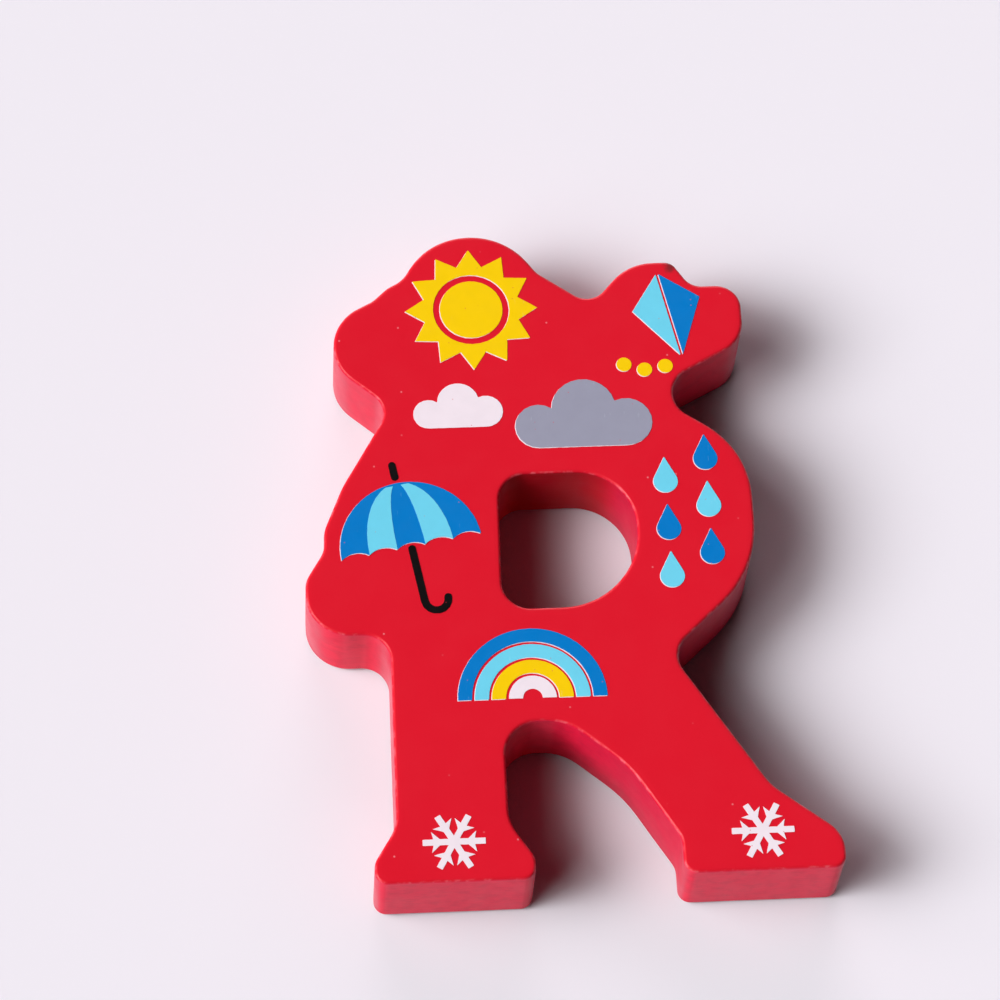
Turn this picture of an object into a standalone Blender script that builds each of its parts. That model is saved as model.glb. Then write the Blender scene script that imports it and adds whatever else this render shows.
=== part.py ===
"""Wooden letter R, cut from one painted board, lying face up on four foam pads.

The front carries a print of separate ink films: sun, clouds, kite, rain, umbrella, rainbow and snow.
The outline is drawn in millimetres, across from the stem's left side and up from the soles of the feet.
"""

import math

import bmesh
import bpy
from mathutils import Matrix, Vector

MM = 0.001

# Board
LETTER_HEIGHT = 100.0
BOARD_THICKNESS = 13.5
EDGE_ROUND = 0.6
EDGE_STEPS = 3
ARC_ANGLE = math.radians(9)
ARC_LENGTH = 2.0
ARC_ROOM = 0.99
SHARP_ANGLE = math.radians(40)

# Stem and its foot, up from the sole
STEM_WIDTH = 15.8
STEM_LEAN = 0.4
SOLE_ROUND = 1.8
FOOT_SIDE = 3.2
FOOT_SIDE_ROUND = 3.0
FOOT_LEFT_REACH = 3.3
FOOT_RIGHT_REACH = 3.4
FOOT_TAPER = 5.2
FOOT_TAPER_ROUND = 6.5

# Lobe on the stem's left side
LOBE_REACH = 11.3
LOBE_HEIGHT = 8.5
LOBE_ROUND = 6.2
UNDERLOBE_ROUND = 4.0
LOBE_TOP_ROUND = 3.5
DENT_RISE = 4.7
DENT_REACH = 8.4
DENT_ROUND = 4.0
FLANK_HEIGHT = 2.9
FLANK_ROUND = 6.0
SLOPE_HEIGHT = 7.0
SLOPE_REACH = 5.4
SLOPE_ROUND = 15.0
SHOULDER_RISE = 12.2

# Cap over the notch above the lobe
NOTCH_INSET = 2.0
NOTCH_ROUND = 3.5
CAP_RISE = 6.7
CAP_REACH = 5.8
CAP_SIDE = 7.5
CAP_ROUND = 6.9
KNOLL_FOOT_DROP = 3.1
KNOLL_FOOT_INSET = 0.2
KNOLL_FOOT_ROUND = 4.0
KNOLL_DROP = 1.0
KNOLL_INSET = 2.5
KNOLL_ROUND = 4.0
BEND_RISE = 6.2
BEND_INSET = 4.6
BEND_ROUND = 5.0
DOME_RISE = 6.9
DOME_LEFT = 9.0
DOME_WIDTH = 11.1
DOME_ROUND = 11.0
RIGHT_BEND_DROP = 6.2
RIGHT_BEND_REACH = 4.4
RIGHT_BEND_ROUND = 4.0

# Arch, leg and its foot
ARCH_HEIGHT = 23.4
ARCH_ROUND = 5.0
ARCH_FLAT = 8.7
ARCH_TURN_ROUND = 8.0
LEG_BEND_RUN = 8.5
LEG_BEND_DROP = 7.2
LEG_BEND_ROUND = 20.0
LEG_FOOT_RUN = 6.8
LEG_FOOT_WIDTH = 22.8
LEG_FOOT_INNER_SIDE = 5.1
LEG_FOOT_SIDE = 5.0
LEG_FOOT_ROUND = 5.0
FLARE_RUN = 9.7
FLARE_RISE = 7.6
FLARE_ROUND = 8.0
LEG_SIDE_RUN = 12.8

# Bowl, between the waist and the nick under the ear
WAIST_ROUND = 3.8
BOWL_RISE = 12.4
BOWL_REACH = 13.5
BOWL_LOWER_ROUND = 17.4
BOWL_SIDE = 18.8
BOWL_UPPER_ROUND = 14.0
NICK_RISE = 9.7
NICK_INSET = 14.1
NICK_ROUND = 4.0

# Ear over the bowl
EAR_DROP = 5.1
EAR_RISE = 7.7
EAR_REACH = 14.7
EAR_ROUND = 5.5
EAR_SIDE = 9.1
EAR_TIP_ROUND = 3.6
EAR_TIP_WIDTH = 7.1
DIP_ROUND = 3.0
EAR_TOP_RISE = 4.1
EAR_TOP_RUN = 2.7
EAR_TOP_ROUND = 2.0
EAR_TOP_WIDTH = 6.3
EAR_SHOULDER_ROUND = 8.0
SADDLE_DROP = 6.6
SADDLE_RUN = 5.9
SADDLE_ROUND = 3.2

# Counter, the hole in the bowl
COUNTER_DROP = 38.5
COUNTER_INSET = 0.8
COUNTER_WIDTH = 20.0
COUNTER_HEIGHT = 20.9
COUNTER_LEAN = 0.5
COUNTER_LEFT_ROUND = 4.1
COUNTER_TOP_ROUND = 8.6
COUNTER_BOTTOM_ROUND = 11.5

# Foam pads on the back
PAD_DIAMETER = 13.0
PAD_THICKNESS = 0.5
PAD_STEPS = 32

# Print
INK_THICKNESS = 0.12
PRINT_GAP = 1.6
INK_TRAP = 0.4
ROUND_STEPS = 32

SUN_DISC_RADIUS = 4.6
SUN_RING_GAP = 1.0
SUN_RING_WIDTH = 1.5
SUN_RAY_LENGTH = 2.6
SUN_RAYS = 12
SUN_DROP = 12.0

WHITE_CLOUD_WIDTH = 13.0
WHITE_CLOUD_HEIGHT = 7.6
GREY_CLOUD_WIDTH = 20.0
GREY_CLOUD_HEIGHT = 11.4
GREY_CLOUD_SHIFT = 3.2
GREY_CLOUD_CLEARANCE = 4.0
CLOUD_BASE_SHARE = 0.32
CLOUD_RIGHT_DIP = Vector((0.24, 0.62))
CLOUD_LEFT_DIP = Vector((-0.22, 0.54))
CLOUD_TOP_SWEEP = math.radians(165)
CLOUD_STEPS = 12

KITE_LENGTH = 13.4
KITE_WIDTH = 10.2
KITE_NOSE = 5.0
KITE_TILT = math.radians(12)
KITE_SHIFT = 2.6
KITE_TAIL_DOT = 2.2
KITE_TAIL_STEP = 3.1
KITE_TAIL_DOTS = 3
KITE_TAIL_HEADING = math.radians(-145)
KITE_TAIL_TURN = math.radians(-26)

DROP_LENGTH = 5.6
DROP_WIDTH = 3.5
DROP_ROW_STEP = 7.4
DROP_ROWS = 3
DROP_COLUMN_STEP = 6.0
DROP_STAGGER = 3.4
RAIN_SHIFT = 0.9

UMBRELLA_RADIUS = 10.2
UMBRELLA_SCALLOPS = 5
UMBRELLA_SCALLOP_SWEEP = math.radians(75)
UMBRELLA_TILT = math.radians(10)
UMBRELLA_RIB_START = math.radians(16)
UMBRELLA_STEPS = 8
SHAFT_WIDTH = 1.1
SHAFT_LENGTH = 8.6
HOOK_RADIUS = 1.7
TIP_LENGTH = 1.9

RAINBOW_RADIUS = 10.6
RAINBOW_BAND = 2.0
RAINBOW_CLEARANCE = 3.4

SNOW_RADIUS = 4.4
SNOW_ARM_WIDTH = 0.9
SNOW_ARMS = 6
SNOW_BARB_AT = 2.0
SNOW_BARB_WIDTH = 0.9
SNOW_BARB_LENGTH = 1.1
SNOW_BARB_LEAN = 0.7
SNOW_SEAT = 5.8


def linear(channel):
    value = channel / 255
    return value / 12.92 if value <= 0.04045 else ((value + 0.055) / 1.055) ** 2.4


def material(name, red, green, blue, roughness):
    made = bpy.data.materials.new(name)
    made.use_nodes = True
    shader = made.node_tree.nodes["Principled BSDF"]
    shader.inputs["Base Color"].default_value = (linear(red), linear(green), linear(blue), 1)
    shader.inputs["Roughness"].default_value = roughness
    shader.inputs["Metallic"].default_value = 0
    return made


def rounded(corners):
    """A closed outline whose corners (x, y, radius) become arcs, shortened where two arcs share an edge."""
    count = len(corners)
    places = [Vector(corner[:2]) for corner in corners]
    back = [places[i - 1] - places[i] for i in range(count)]
    ahead = [places[(i + 1) % count] - places[i] for i in range(count)]
    halves = [back[i].angle(ahead[i]) / 2 for i in range(count)]
    wanted = [corners[i][2] / math.tan(halves[i]) for i in range(count)]
    points = []
    for i in range(count):
        room_back = back[i].length / (wanted[i - 1] + wanted[i])
        room_ahead = ahead[i].length / (wanted[i] + wanted[(i + 1) % count])
        reach = wanted[i] * min(1, ARC_ROOM * room_back, ARC_ROOM * room_ahead)
        radius = reach * math.tan(halves[i])
        inward = (back[i].normalized() + ahead[i].normalized()).normalized()
        centre = places[i] + inward * radius / math.sin(halves[i])
        start = places[i] + back[i].normalized() * reach - centre
        end = places[i] + ahead[i].normalized() * reach - centre
        sweep = -start.angle_signed(end)
        steps = max(2, math.ceil(abs(sweep) / ARC_ANGLE), math.ceil(abs(sweep) * radius / ARC_LENGTH))
        first = math.atan2(start.y, start.x)
        points += [centre + polar(radius, first + sweep * k / steps) for k in range(steps + 1)]
    return points


def polar(radius, angle):
    return Vector((radius * math.cos(angle), radius * math.sin(angle)))


def circle(radius, steps=ROUND_STEPS):
    return [polar(radius, math.tau * k / steps) for k in range(steps)]


def arc_over(start, end, sweep, steps):
    """Points from start to end, without end, on an arc that bulges right, or left for a negative sweep."""
    chord = end - start
    radius = abs(chord.length / 2 / math.sin(sweep / 2))
    side = Vector((-chord.y, chord.x)).normalized() * math.copysign(1, sweep)
    centre = (start + end) / 2 + side * radius * math.cos(sweep / 2)
    first = math.atan2(start.y - centre.y, start.x - centre.x)
    return [centre + polar(radius, first + sweep * k / steps) for k in range(steps)]


def inset(loop, depth):
    """The loop moved sideways by depth into the material, which lies on its left."""
    moved = []
    for i, here in enumerate(loop):
        before = (here - loop[i - 1]).normalized()
        after = (loop[(i + 1) % len(loop)] - here).normalized()
        along = (before + after).normalized()
        moved.append(here + Vector((-along.y, along.x)) * depth / along.dot(after))
    return moved


def slab(name, loops, thickness, finish, edge=0.0):
    """A flat solid on z = 0 with the loops' outline: the first runs anticlockwise, holes run clockwise."""
    turns = [math.pi / 2 * k / EDGE_STEPS for k in range(EDGE_STEPS + 1)] if edge else [math.pi / 2]
    lower = [(edge * (1 - math.sin(turn)), edge * (1 - math.cos(turn))) for turn in turns]
    levels = lower + [(depth, thickness - height) for depth, height in reversed(lower)]
    shape = bmesh.new()
    rims = {0: [], len(levels) - 1: []}
    for loop in loops:
        rings = []
        for depth, height in levels:
            ring = inset(loop, depth) if depth else loop
            rings.append([shape.verts.new((p.x * MM, p.y * MM, height * MM)) for p in ring])
        for below, above in zip(rings, rings[1:]):
            for i in range(len(loop)):
                shape.faces.new((below[i - 1], below[i], above[i], above[i - 1]))
        for level, rim in rims.items():
            ring = rings[level]
            rim += [shape.edges.get((ring[i - 1], ring[i])) for i in range(len(ring))]
    for rim in rims.values():
        bmesh.ops.triangle_fill(shape, edges=rim, use_beauty=True)
    bmesh.ops.recalc_face_normals(shape, faces=shape.faces)
    mesh = bpy.data.meshes.new(name)
    shape.to_mesh(mesh)
    shape.free()
    mesh.materials.append(finish)
    mesh.shade_smooth()
    mesh.set_sharp_from_angle(angle=SHARP_ANGLE)
    made = bpy.data.objects.new(name, mesh)
    bpy.context.collection.objects.link(made)
    return made


def cloud(width, height):
    """Three puffs on a flat base that the outer two run into, about the base's middle."""
    right = Vector((width * CLOUD_BASE_SHARE, 0))
    right_dip = CLOUD_RIGHT_DIP * Vector((width, height))
    left_dip = CLOUD_LEFT_DIP * Vector((width, height))
    left = -right
    right_sweep = 2 * math.atan2(right_dip.y, right_dip.x - right.x)
    left_sweep = 2 * math.atan2(left_dip.y, left.x - left_dip.x)
    points = arc_over(right, right_dip, right_sweep, CLOUD_STEPS)
    points += arc_over(right_dip, left_dip, CLOUD_TOP_SWEEP, CLOUD_STEPS)
    return points + arc_over(left_dip, left, left_sweep, CLOUD_STEPS) + [left]


def rain_drop():
    """A round drop drawn out to a point, about its middle."""
    radius = DROP_WIDTH / 2
    apex = DROP_LENGTH - radius
    round_middle = Vector((0, radius - DROP_LENGTH / 2))
    tangent = math.acos(radius / apex)
    first, last = math.pi / 2 + tangent, math.tau + math.pi / 2 - tangent
    points = [round_middle + Vector((0, apex))]
    for k in range(ROUND_STEPS + 1):
        points.append(round_middle + polar(radius, first + (last - first) * k / ROUND_STEPS))
    return points


def rib_point(share, turn):
    """A point on an umbrella's rib, whose foot lies at that share of the half width."""
    return Vector((share * UMBRELLA_RADIUS * math.sin(turn), UMBRELLA_RADIUS * math.cos(turn)))


def scallop(first, last):
    """The hollow lower edge of one panel, from its left rib to its right one."""
    start, end = rib_point(first, math.pi / 2), rib_point(last, math.pi / 2)
    return arc_over(start, end, -UMBRELLA_SCALLOP_SWEEP, UMBRELLA_STEPS)


def panel(first, last):
    """One panel between two ribs, from just under the umbrella's top."""
    span = math.pi / 2 - UMBRELLA_RIB_START
    turns = [UMBRELLA_RIB_START + span * k / UMBRELLA_STEPS for k in range(UMBRELLA_STEPS + 1)]
    right = [rib_point(last, turn) for turn in reversed(turns)]
    return right + [rib_point(first, turn) for turn in turns[:-1]] + scallop(first, last)


def stroke(path, width):
    """A line of that width along the path, with round ends."""
    left, right = [], []
    for i, here in enumerate(path):
        along = (path[min(i + 1, len(path) - 1)] - path[max(i - 1, 0)]).normalized()
        side = Vector((-along.y, along.x)) * width / 2
        left.append(here + side)
        right.append(here - side)
    far_end = arc_over(right[-1], left[-1], math.pi, UMBRELLA_STEPS)
    near_end = arc_over(left[0], right[0], math.pi, UMBRELLA_STEPS)
    return right[:-1] + far_end + left[:0:-1] + near_end


def half_ring(outer, inner):
    """An upright arch between two radii."""
    turns = [math.pi * k / ROUND_STEPS for k in range(ROUND_STEPS + 1)]
    return [polar(outer, turn) for turn in turns] + [polar(inner, turn) for turn in reversed(turns)]


def snowflake():
    """Straight arms about a middle, each with a pair of barbs."""
    side = SNOW_ARM_WIDTH / 2
    root = side / math.tan(math.pi / SNOW_ARMS)
    edge = [
        Vector((SNOW_BARB_AT, -side)),
        Vector((SNOW_BARB_AT + SNOW_BARB_LEAN + SNOW_BARB_WIDTH / 2, -side - SNOW_BARB_LENGTH)),
        Vector((SNOW_BARB_AT + SNOW_BARB_WIDTH, -side)),
        Vector((SNOW_RADIUS, -side)),
    ]
    arm = [Vector((root, -side))] + edge + [Vector((p.x, -p.y)) for p in reversed(edge)]
    points = []
    for k in range(SNOW_ARMS):
        turn = Matrix.Rotation(math.tau * k / SNOW_ARMS, 2)
        points += [turn @ p for p in arm]
    return points


for old in list(bpy.data.objects):
    bpy.data.objects.remove(old, do_unlink=True)

RED_PAINT = material("red_paint", 221, 30, 46, 0.42)
GREY_INK = material("grey_ink", 153, 155, 174, 0.5)
SKY_INK = material("sky_ink", 113, 213, 239, 0.5)
BLUE_INK = material("blue_ink", 2, 123, 200, 0.5)
YELLOW_INK = material("yellow_ink", 249, 206, 10, 0.5)
WHITE_INK = material("white_ink", 241, 230, 240, 0.5)
BLACK_INK = material("black_ink", 20, 18, 19, 0.5)
FOAM = material("foam", 235, 232, 226, 0.9)

# Heights of the outline's main corners: the feet and the arch up from the soles, the rest down from the top
taper_top = FOOT_SIDE + FOOT_TAPER
flare_top = LEG_FOOT_SIDE + FLARE_RISE
leg_bend_up = ARCH_HEIGHT - LEG_BEND_DROP
bend = LETTER_HEIGHT - DOME_RISE
cap_top = bend - BEND_RISE
cap_bottom = cap_top - CAP_SIDE
notch = cap_bottom - CAP_RISE
slope_top = notch - SHOULDER_RISE
flank_top = slope_top - SLOPE_HEIGHT
dent = flank_top - FLANK_HEIGHT
lobe_top = dent - DENT_RISE
lobe_bottom = lobe_top - LOBE_HEIGHT
ear_top = LETTER_HEIGHT - EAR_DROP
ear_tip = ear_top - EAR_TOP_RISE
ear_bottom = ear_tip - EAR_SIDE
nick = ear_bottom - EAR_RISE
bowl_top = nick - NICK_RISE
bowl_bottom = bowl_top - BOWL_SIDE
waist = bowl_bottom - BOWL_RISE
counter_top = LETTER_HEIGHT - COUNTER_DROP
counter_bottom = counter_top - COUNTER_HEIGHT

# Places of the outline's main corners across the letter, from the stem's left side
dome_right = DOME_LEFT + DOME_WIDTH
arch_turn = STEM_WIDTH + ARCH_FLAT
leg_bend = arch_turn + LEG_BEND_RUN
foot_inner = leg_bend + LEG_FOOT_RUN
foot_outer = foot_inner + LEG_FOOT_WIDTH
flare_across = foot_outer - FLARE_RUN
waist_across = flare_across - LEG_SIDE_RUN
bowl_side = waist_across + BOWL_REACH
nick_across = bowl_side - NICK_INSET
ear_side = nick_across + EAR_REACH
dip_across = ear_side - EAR_TIP_WIDTH
ear_top_across = dip_across - EAR_TOP_RUN
ear_shoulder = ear_top_across - EAR_TOP_WIDTH
saddle_across = ear_shoulder - SADDLE_RUN
counter_left = STEM_WIDTH + COUNTER_INSET
counter_right = counter_left + COUNTER_WIDTH

stem_foot = [
    (STEM_WIDTH, taper_top, FOOT_TAPER_ROUND),
    (STEM_WIDTH + FOOT_RIGHT_REACH, FOOT_SIDE, FOOT_SIDE_ROUND),
    (STEM_WIDTH + FOOT_RIGHT_REACH, 0, SOLE_ROUND),
    (-FOOT_LEFT_REACH, 0, SOLE_ROUND),
    (-FOOT_LEFT_REACH, FOOT_SIDE, FOOT_SIDE_ROUND),
    (0, taper_top, FOOT_TAPER_ROUND),
]
left_lobe = [
    (STEM_LEAN, lobe_bottom, UNDERLOBE_ROUND),
    (-LOBE_REACH, lobe_bottom, LOBE_ROUND),
    (-LOBE_REACH, lobe_top, LOBE_TOP_ROUND),
    (-DENT_REACH, dent, DENT_ROUND),
    (-DENT_REACH, flank_top, FLANK_ROUND),
    (-SLOPE_REACH, slope_top, SLOPE_ROUND),
]
cap = [
    (NOTCH_INSET, notch, NOTCH_ROUND),
    (-CAP_REACH, cap_bottom, CAP_ROUND),
    (-CAP_REACH, cap_top, CAP_ROUND),
    (KNOLL_FOOT_INSET, bend - KNOLL_FOOT_DROP, KNOLL_FOOT_ROUND),
    (KNOLL_INSET, bend - KNOLL_DROP, KNOLL_ROUND),
    (BEND_INSET, bend, BEND_ROUND),
    (DOME_LEFT, LETTER_HEIGHT, DOME_ROUND),
    (dome_right, LETTER_HEIGHT, DOME_ROUND),
    (dome_right + RIGHT_BEND_REACH, LETTER_HEIGHT - RIGHT_BEND_DROP, RIGHT_BEND_ROUND),
]
ear = [
    (saddle_across, ear_top - SADDLE_DROP, SADDLE_ROUND),
    (ear_shoulder, ear_top, EAR_SHOULDER_ROUND),
    (ear_top_across, ear_top, EAR_TOP_ROUND),
    (dip_across, ear_tip, DIP_ROUND),
    (ear_side, ear_tip, EAR_TIP_ROUND),
    (ear_side, ear_bottom, EAR_ROUND),
]
bowl = [
    (nick_across, nick, NICK_ROUND),
    (bowl_side, bowl_top, BOWL_UPPER_ROUND),
    (bowl_side, bowl_bottom, BOWL_LOWER_ROUND),
    (waist_across, waist, WAIST_ROUND),
]
leg = [
    (flare_across, flare_top, FLARE_ROUND),
    (foot_outer, LEG_FOOT_SIDE, LEG_FOOT_ROUND),
    (foot_outer, 0, SOLE_ROUND),
    (foot_inner, 0, SOLE_ROUND),
    (foot_inner, LEG_FOOT_INNER_SIDE, FOOT_SIDE_ROUND),
    (leg_bend, leg_bend_up, LEG_BEND_ROUND),
    (arch_turn, ARCH_HEIGHT, ARCH_TURN_ROUND),
    (STEM_WIDTH, ARCH_HEIGHT, ARCH_ROUND),
]
counter = [
    (counter_left, counter_bottom, COUNTER_LEFT_ROUND),
    (counter_left + COUNTER_LEAN, counter_top, COUNTER_LEFT_ROUND),
    (counter_right, counter_top, COUNTER_TOP_ROUND),
    (counter_right, counter_bottom, COUNTER_BOTTOM_ROUND),
]

outline = rounded(stem_foot + left_lobe + cap + ear + bowl + leg)
outline.reverse()
hole = rounded(counter)

# The letter's middle is the origin, and its back stands one pad above the floor
middle = Vector((
    (min(p.x for p in outline) + max(p.x for p in outline)) / 2,
    (min(p.y for p in outline) + max(p.y for p in outline)) / 2,
))
letter = bpy.data.objects.new("letter", None)
bpy.context.collection.objects.link(letter)
front = PAD_THICKNESS + BOARD_THICKNESS


def place(piece, across, up, height, turn=0.0):
    """Seats a piece at a place of the drawing, with its underside at that height."""
    piece.parent = letter
    piece.location = ((across - middle.x) * MM, (up - middle.y) * MM, height * MM)
    piece.rotation_euler = (0, 0, turn)


def film(name, loops, finish, across, up, turn=0.0, layer=0):
    """One ink film on the front, or on another film when it is in a higher layer."""
    made = slab(name, loops, INK_THICKNESS, finish)
    place(made, across, up, front + layer * INK_THICKNESS, turn)


place(slab("letter_body", [outline, hole], BOARD_THICKNESS, RED_PAINT, EDGE_ROUND), 0, 0, PAD_THICKNESS)

# Pads: one behind the cap, the bowl, the stem and the leg
dome_middle = (DOME_LEFT + dome_right) / 2
sun_up = LETTER_HEIGHT - SUN_DROP
bowl_middle = (counter_right + bowl_side) / 2
bowl_up = (bowl_bottom + bowl_top) / 2
leg_side = Vector((waist_across + flare_across, waist + flare_top)) / 2
leg_middle = (leg_side + Vector((leg_bend, leg_bend_up))) / 2
pad_places = {
    "pad_cap": (dome_middle, sun_up),
    "pad_bowl": (bowl_middle, bowl_up),
    "pad_stem": (STEM_WIDTH / 2, (taper_top + lobe_bottom) / 2),
    "pad_leg": (leg_middle.x, leg_middle.y),
}
for name, (across, up) in pad_places.items():
    place(slab(name, [circle(PAD_DIAMETER / 2, PAD_STEPS)], PAD_THICKNESS, FOAM), across, up, 0)

# Sun: a disc in a ring of rays
ring_inner = SUN_DISC_RADIUS + SUN_RING_GAP
ring_outer = ring_inner + SUN_RING_WIDTH
sun_radius = ring_outer + SUN_RAY_LENGTH
rays = []
for k in range(2 * SUN_RAYS):
    rays.append(polar(ring_outer if k % 2 else sun_radius, math.pi * k / SUN_RAYS))
film("sun_disc", [circle(SUN_DISC_RADIUS)], YELLOW_INK, dome_middle, sun_up)
film("sun_rays", [rays, circle(ring_inner)[::-1]], YELLOW_INK, dome_middle, sun_up)

# Clouds: a small one under the sun and a large one over the counter
grey_across = (counter_left + counter_right) / 2 + GREY_CLOUD_SHIFT
white_across = grey_across - (GREY_CLOUD_WIDTH + WHITE_CLOUD_WIDTH) / 2 - PRINT_GAP
white_base = sun_up - sun_radius - PRINT_GAP - WHITE_CLOUD_HEIGHT
film("white_cloud", [cloud(WHITE_CLOUD_WIDTH, WHITE_CLOUD_HEIGHT)], WHITE_INK, white_across, white_base)
film("grey_cloud", [cloud(GREY_CLOUD_WIDTH, GREY_CLOUD_HEIGHT)], GREY_INK,
     grey_across, counter_top + GREY_CLOUD_CLEARANCE)

# Kite on the ear: two halves beside its spine, and a tail of dots that swings away from its tip
kite_across = (ear_shoulder + ear_side) / 2 - KITE_SHIFT
kite_up = (ear_bottom + ear_tip) / 2
tip = -KITE_LENGTH / 2
for name, side, finish in (("kite_left", -1, SKY_INK), ("kite_right", 1, BLUE_INK)):
    half = [
        Vector((side * INK_TRAP / 2, tip)),
        Vector((side * KITE_WIDTH / 2, KITE_LENGTH / 2 - KITE_NOSE)),
        Vector((side * INK_TRAP / 2, KITE_LENGTH / 2)),
    ]
    film(name, [half[::side]], finish, kite_across, kite_up, KITE_TILT)
dot = Vector((kite_across, kite_up)) + polar(KITE_LENGTH / 2, KITE_TILT - math.pi / 2)
for k in range(KITE_TAIL_DOTS):
    dot += polar(KITE_TAIL_STEP, KITE_TAIL_HEADING + k * KITE_TAIL_TURN)
    film(f"kite_tail_{k + 1}", [circle(KITE_TAIL_DOT / 2)], YELLOW_INK, dot.x, dot.y)

# Rain down the bowl, in two staggered columns of both blues
for row in range(DROP_ROWS):
    for column, side in enumerate((-1, 1)):
        number = 2 * row + column + 1
        across = bowl_middle - RAIN_SHIFT + side * DROP_COLUMN_STEP / 2
        up = bowl_up + (row - (DROP_ROWS - 1) / 2) * DROP_ROW_STEP + side * DROP_STAGGER / 2
        film(f"rain_drop_{number}", [rain_drop()], BLUE_INK if (row + column) % 2 else SKY_INK, across, up)

# Umbrella beside the counter: a canopy with two lighter panels on it, a shaft with a hook and a tip
umbrella_across = (counter_left - DENT_REACH) / 2
ribs = [2 * k / UMBRELLA_SCALLOPS - 1 for k in range(UMBRELLA_SCALLOPS + 1)]
canopy = [polar(UMBRELLA_RADIUS, math.pi * k / ROUND_STEPS) for k in range(ROUND_STEPS)]
for first, last in zip(ribs, ribs[1:]):
    canopy += scallop(first, last)
film("umbrella_canopy", [canopy], BLUE_INK, umbrella_across, dent, UMBRELLA_TILT)
for name, k in (("umbrella_left_panel", 1), ("umbrella_right_panel", 3)):
    film(name, [panel(ribs[k], ribs[k + 1])], SKY_INK, umbrella_across, dent, UMBRELLA_TILT, layer=1)
scallop_rise = UMBRELLA_RADIUS / UMBRELLA_SCALLOPS * math.tan(UMBRELLA_SCALLOP_SWEEP / 4)
shaft_top = scallop_rise - INK_TRAP - SHAFT_WIDTH / 2
hook_middle = Vector((HOOK_RADIUS, -SHAFT_LENGTH))
shaft_line = [Vector((0, shaft_top))]
for k in range(UMBRELLA_STEPS + 1):
    shaft_line.append(hook_middle + polar(HOOK_RADIUS, math.pi + math.pi * k / UMBRELLA_STEPS))
film("umbrella_shaft", [stroke(shaft_line, SHAFT_WIDTH)], BLACK_INK, umbrella_across, dent, UMBRELLA_TILT)
tip_start = UMBRELLA_RADIUS + INK_TRAP + SHAFT_WIDTH / 2
tip_line = [Vector((0, tip_start)), Vector((0, tip_start + TIP_LENGTH))]
film("umbrella_tip", [stroke(tip_line, SHAFT_WIDTH)], BLACK_INK, umbrella_across, dent, UMBRELLA_TILT)

# Rainbow over the arch
rainbow_inks = {"blue": BLUE_INK, "sky": SKY_INK, "yellow": YELLOW_INK, "white": WHITE_INK}
for k, (colour, finish) in enumerate(rainbow_inks.items()):
    outer = RAINBOW_RADIUS - k * (RAINBOW_BAND + INK_TRAP)
    film(f"rainbow_{colour}", [half_ring(outer, outer - RAINBOW_BAND)], finish,
         (STEM_WIDTH + arch_turn) / 2, ARCH_HEIGHT + RAINBOW_CLEARANCE)

# Snow, one flake on each foot
foot_middle = (STEM_WIDTH + FOOT_RIGHT_REACH - FOOT_LEFT_REACH) / 2
film("snowflake_left", [snowflake()], WHITE_INK, foot_middle, SNOW_SEAT)
film("snowflake_right", [snowflake()], WHITE_INK, (foot_inner + foot_outer) / 2, SNOW_SEAT)
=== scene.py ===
import math

import bmesh
import bpy
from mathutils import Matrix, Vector


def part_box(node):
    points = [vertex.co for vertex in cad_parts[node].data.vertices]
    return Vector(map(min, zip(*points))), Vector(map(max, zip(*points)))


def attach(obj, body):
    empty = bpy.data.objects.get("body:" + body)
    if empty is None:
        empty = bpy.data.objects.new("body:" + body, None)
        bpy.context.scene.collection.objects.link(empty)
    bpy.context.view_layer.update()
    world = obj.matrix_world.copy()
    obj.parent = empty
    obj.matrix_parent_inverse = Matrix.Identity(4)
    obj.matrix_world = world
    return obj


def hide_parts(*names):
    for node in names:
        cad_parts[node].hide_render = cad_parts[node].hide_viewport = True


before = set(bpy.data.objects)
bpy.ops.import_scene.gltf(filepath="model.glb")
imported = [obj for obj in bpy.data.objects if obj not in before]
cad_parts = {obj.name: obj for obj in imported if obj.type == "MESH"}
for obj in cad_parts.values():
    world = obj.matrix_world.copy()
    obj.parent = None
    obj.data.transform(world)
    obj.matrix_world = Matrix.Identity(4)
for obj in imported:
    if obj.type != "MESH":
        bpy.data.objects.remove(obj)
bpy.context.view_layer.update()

# Letter board
# One piece of close-grained hardwood, sawn to the outline of a letter R, with both rims rounded.
# It is sanded, sprayed red all over with satin lacquer, and carries the pads and the print.
MM = 0.001
WELD = 0.001 * MM
JOIN_WITHIN = 2 * WELD
UPWARD = (0, 0, 1)
LEVEL_ONLY = (1, 1, 0)
LEVEL_FROM = 0.999
NOISE_DETAIL = 3.0
NOISE_MIDDLE = (0.5, 0.5, 0.5)
OUTLINE_STEP = 1.5 * MM
OUTLINE_SPACING = 0.4 * MM
ROUNDING_STEPS = 7
EDGE_ROUNDING = 0.5 * MM
RIM_LAND = 0.5 * MM
HAND_WOBBLE = 0.09 * MM
WOBBLE_SCALE = 140
SHARP_FROM = math.radians(35)
LACQUER_RED = (227, 27, 47)
LACQUER_DEEP = (220, 23, 43)
# Painted shade and sheen: the walls' lacquer is darker than the front's, to offset the stronger
# light on them, and bluer, standing in for their pink sheen.
LACQUER_WALL_SHADE_AND_SHEEN = (212, 22, 62)
# Painted light: walls facing along the letter's height are lighter, and those facing straight
# along it, such as the soles, lighter still, standing in for the light they catch.
LACQUER_ENDWISE_LIT = (242, 24, 66)
LACQUER_SOLE_LIT = (247, 45, 79)
# Painted shade: inside the counter the walls facing along the letter's height are darker, standing
# in for the shade in that hollow.
LACQUER_COUNTER_SHADE = (196, 8, 30)
LACQUER_SANDED = (188, 14, 48)
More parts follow.
